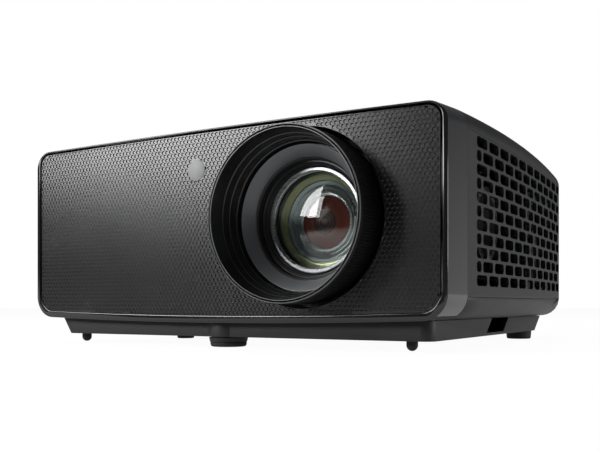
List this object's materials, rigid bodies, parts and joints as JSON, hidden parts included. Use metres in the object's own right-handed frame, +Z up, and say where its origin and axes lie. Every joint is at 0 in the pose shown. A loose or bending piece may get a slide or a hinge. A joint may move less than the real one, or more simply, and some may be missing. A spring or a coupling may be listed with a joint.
{
  "type": "home projector",
  "caption": "Home laser projector: bowed casing with brick vents in its sides, dimpled front, deep offset lens hood, focus, zoom and lens shift, keypad, fans and screw foot.",
  "frame": {"origin": "centre of the footprint box, on the surface that the feet stand on", "axes": "+Z up, front and lens face -Y, +X to the right seen from the front"},
  "size_m": [0.3414, 0.339, 0.1525],
  "materials": {
    "gloss_black": "piano gloss",
    "textured_black": "satin with small moulded dimples",
    "window_grey": "smooth infrared window",
    "matte_black": "matte",
    "charcoal_plastic": "fine satin texture",
    "base_black": "matte moulded",
    "foot_rubber": "soft rubber",
    "insert_brass": "machined",
    "screw_steel": "black oxide and ground steel",
    "hood_black": "satin with fine ribs",
    "lens_satin": "satin grey paint",
    "ring_silver": "turned satin",
    "lens_glass": "coated optical glass",
    "lens_black": "black anodised",
    "frame_metal": "die cast",
    "sink_metal": "extruded",
    "socket_metal": "plated shell",
    "key_black": "satin keys",
    "board_green": "solder mask",
    "light_clear": "clear light guide",
    "fan_black": "moulded",
    "wheel_metal": "mirror disc"
  },
  "bodies": {
    "chassis": {"front_frame": "gloss_black", "front_panel": "textured_black", "front_ir_window": "window_grey", "lens_shroud": "matte_black", "rear_panel": "charcoal_plastic", "hdmi_sockets": "socket_metal", "usb_sockets": "socket_metal", "network_socket": "socket_metal", "audio_jacks": "matte_black", "ac_inlet": "matte_black", "base_pan": "base_black", "rubber_feet": "foot_rubber", "stabiliser_pins": "foot_rubber", "mount_inserts": "insert_brass", "pan_screws": "screw_steel", "shift_rods": "screw_steel", "lens_mount_frame": "frame_metal", "lens_control_tray": "matte_black", "keypad_board": "board_green", "status_lights": "light_clear", "top_ir_window": "window_grey", "intake_fan_frame": "fan_black", "exhaust_fan_frame": "fan_black", "wheel_housing": "frame_metal", "laser_module": "frame_metal", "laser_heatsink": "sink_metal", "optical_engine": "frame_metal", "image_chip_heatsink": "sink_metal", "main_board": "board_green", "power_supply": "board_green", "speaker": "matte_black", "lower_case": "charcoal_plastic", "top_cover": "charcoal_plastic", "right_side_panel": "charcoal_plastic", "left_side_panel": "charcoal_plastic"},
    "focus_ring": {"focus_ring": "hood_black"},
    "front_barrel": {"front_barrel": "lens_satin", "front_retaining_ring": "ring_silver", "front_lens": "lens_glass", "inner_cell": "matte_black", "second_lens": "lens_glass"},
    "zoom_ring": {"zoom_ring": "lens_black"},
    "zoom_group": {"zoom_tube": "lens_black", "zoom_lens": "lens_glass"},
    "lens_carriage": {"shift_carriage": "frame_metal", "main_barrel": "lens_black", "rear_lens": "lens_glass"},
    "shift_dial": {"shift_dial": "matte_black"},
    "intake_fan_rotor": {"intake_fan_rotor": "fan_black"},
    "exhaust_fan_rotor": {"exhaust_fan_rotor": "fan_black"},
    "phosphor_wheel": {"phosphor_wheel": "wheel_metal"},
    "front_foot_pad": {"front_foot_pad": "foot_rubber"},
    "front_foot_screw": {"front_foot_screw": "matte_black"},
    "power_button": {"power_button": "key_black"},
    "menu_button": {"menu_button": "key_black"},
    "enter_button": {"enter_button": "key_black"},
    "up_button": {"up_button": "key_black"},
    "down_button": {"down_button": "key_black"},
    "left_button": {"left_button": "key_black"},
    "right_button": {"right_button": "key_black"}
  },
  "joints": [
    {"name": "lens_shift", "type": "slide", "parent": "chassis", "child": "lens_carriage", "axis": [0, 0, 1], "range_m": [-0.0025, 0.0025]},
    {"name": "shift_dial_turn", "type": "hinge", "parent": "chassis", "child": "shift_dial", "pos_m": [0.0194, -0.088, 0.144], "axis": [0, 0, 1], "range_deg": [-180, 180]},
    {"name": "focus_turn", "type": "hinge", "parent": "lens_carriage", "child": "focus_ring", "pos_m": [0.0714, -0.1345, 0.084], "axis": [0, 1, 0], "range_deg": [0, 100.4]},
    {"name": "focus_travel", "type": "slide", "parent": "lens_carriage", "child": "front_barrel", "axis": [0, -1, 0], "range_m": [0, 0.0026]},
    {"name": "zoom_turn", "type": "hinge", "parent": "lens_carriage", "child": "zoom_ring", "pos_m": [0.0714, -0.0945, 0.084], "axis": [0, 1, 0], "range_deg": [-18.1, 18.1]},
    {"name": "zoom_travel", "type": "slide", "parent": "lens_carriage", "child": "zoom_group", "axis": [0, 1, 0], "range_m": [-0.006, 0.006]},
    {"name": "intake_fan_spin", "type": "hinge", "parent": "chassis", "child": "intake_fan_rotor", "pos_m": [-0.152, 0.0915, 0.079], "axis": [1, 0, 0], "continuous": true},
    {"name": "exhaust_fan_spin", "type": "hinge", "parent": "chassis", "child": "exhaust_fan_rotor", "pos_m": [0.152, 0.0915, 0.079], "axis": [1, 0, 0], "continuous": true},
    {"name": "phosphor_wheel_spin", "type": "hinge", "parent": "chassis", "child": "phosphor_wheel", "pos_m": [-0.028, -0.0695, 0.082], "axis": [0, 1, 0], "continuous": true},
    {"name": "front_foot_travel", "type": "slide", "parent": "chassis", "child": "front_foot_pad", "axis": [0, 0, -1], "range_m": [0, 0.008]},
    {"name": "front_foot_turn", "type": "hinge", "parent": "front_foot_pad", "child": "front_foot_screw", "pos_m": [0, -0.1235, 0.007], "axis": [0, 0, 1], "range_deg": [0, 1441]},
    {"name": "power_press", "type": "slide", "parent": "chassis", "child": "power_button", "axis": [0, 0, -1], "range_m": [0, 0.001], "stiffness_N_per_m": 600, "springref_m": -0.0005},
    {"name": "menu_press", "type": "slide", "parent": "chassis", "child": "menu_button", "axis": [0, 0, -1], "range_m": [0, 0.001], "stiffness_N_per_m": 600, "springref_m": -0.0005},
    {"name": "enter_press", "type": "slide", "parent": "chassis", "child": "enter_button", "axis": [0, 0, -1], "range_m": [0, 0.001], "stiffness_N_per_m": 600, "springref_m": -0.0005},
    {"name": "up_press", "type": "slide", "parent": "chassis", "child": "up_button", "axis": [0, 0, -1], "range_m": [0, 0.001], "stiffness_N_per_m": 600, "springref_m": -0.0005},
    {"name": "down_press", "type": "slide", "parent": "chassis", "child": "down_button", "axis": [0, 0, -1], "range_m": [0, 0.001], "stiffness_N_per_m": 600, "springref_m": -0.0005},
    {"name": "left_press", "type": "slide", "parent": "chassis", "child": "left_button", "axis": [0, 0, -1], "range_m": [0, 0.001], "stiffness_N_per_m": 600, "springref_m": -0.0005},
    {"name": "right_press", "type": "slide", "parent": "chassis", "child": "right_button", "axis": [0, 0, -1], "range_m": [0, 0.001], "stiffness_N_per_m": 600, "springref_m": -0.0005}
  ],
  "couplings": [
    {"joint": "shift_dial_turn", "follows": "lens_shift", "rad_per_m": 1256.5},
    {"joint": "focus_turn", "follows": "focus_travel", "rad_per_m": 671.28},
    {"joint": "zoom_turn", "follows": "zoom_travel", "rad_per_m": 52.36},
    {"joint": "front_foot_turn", "follows": "front_foot_travel", "rad_per_m": 3141.6}
  ]
}
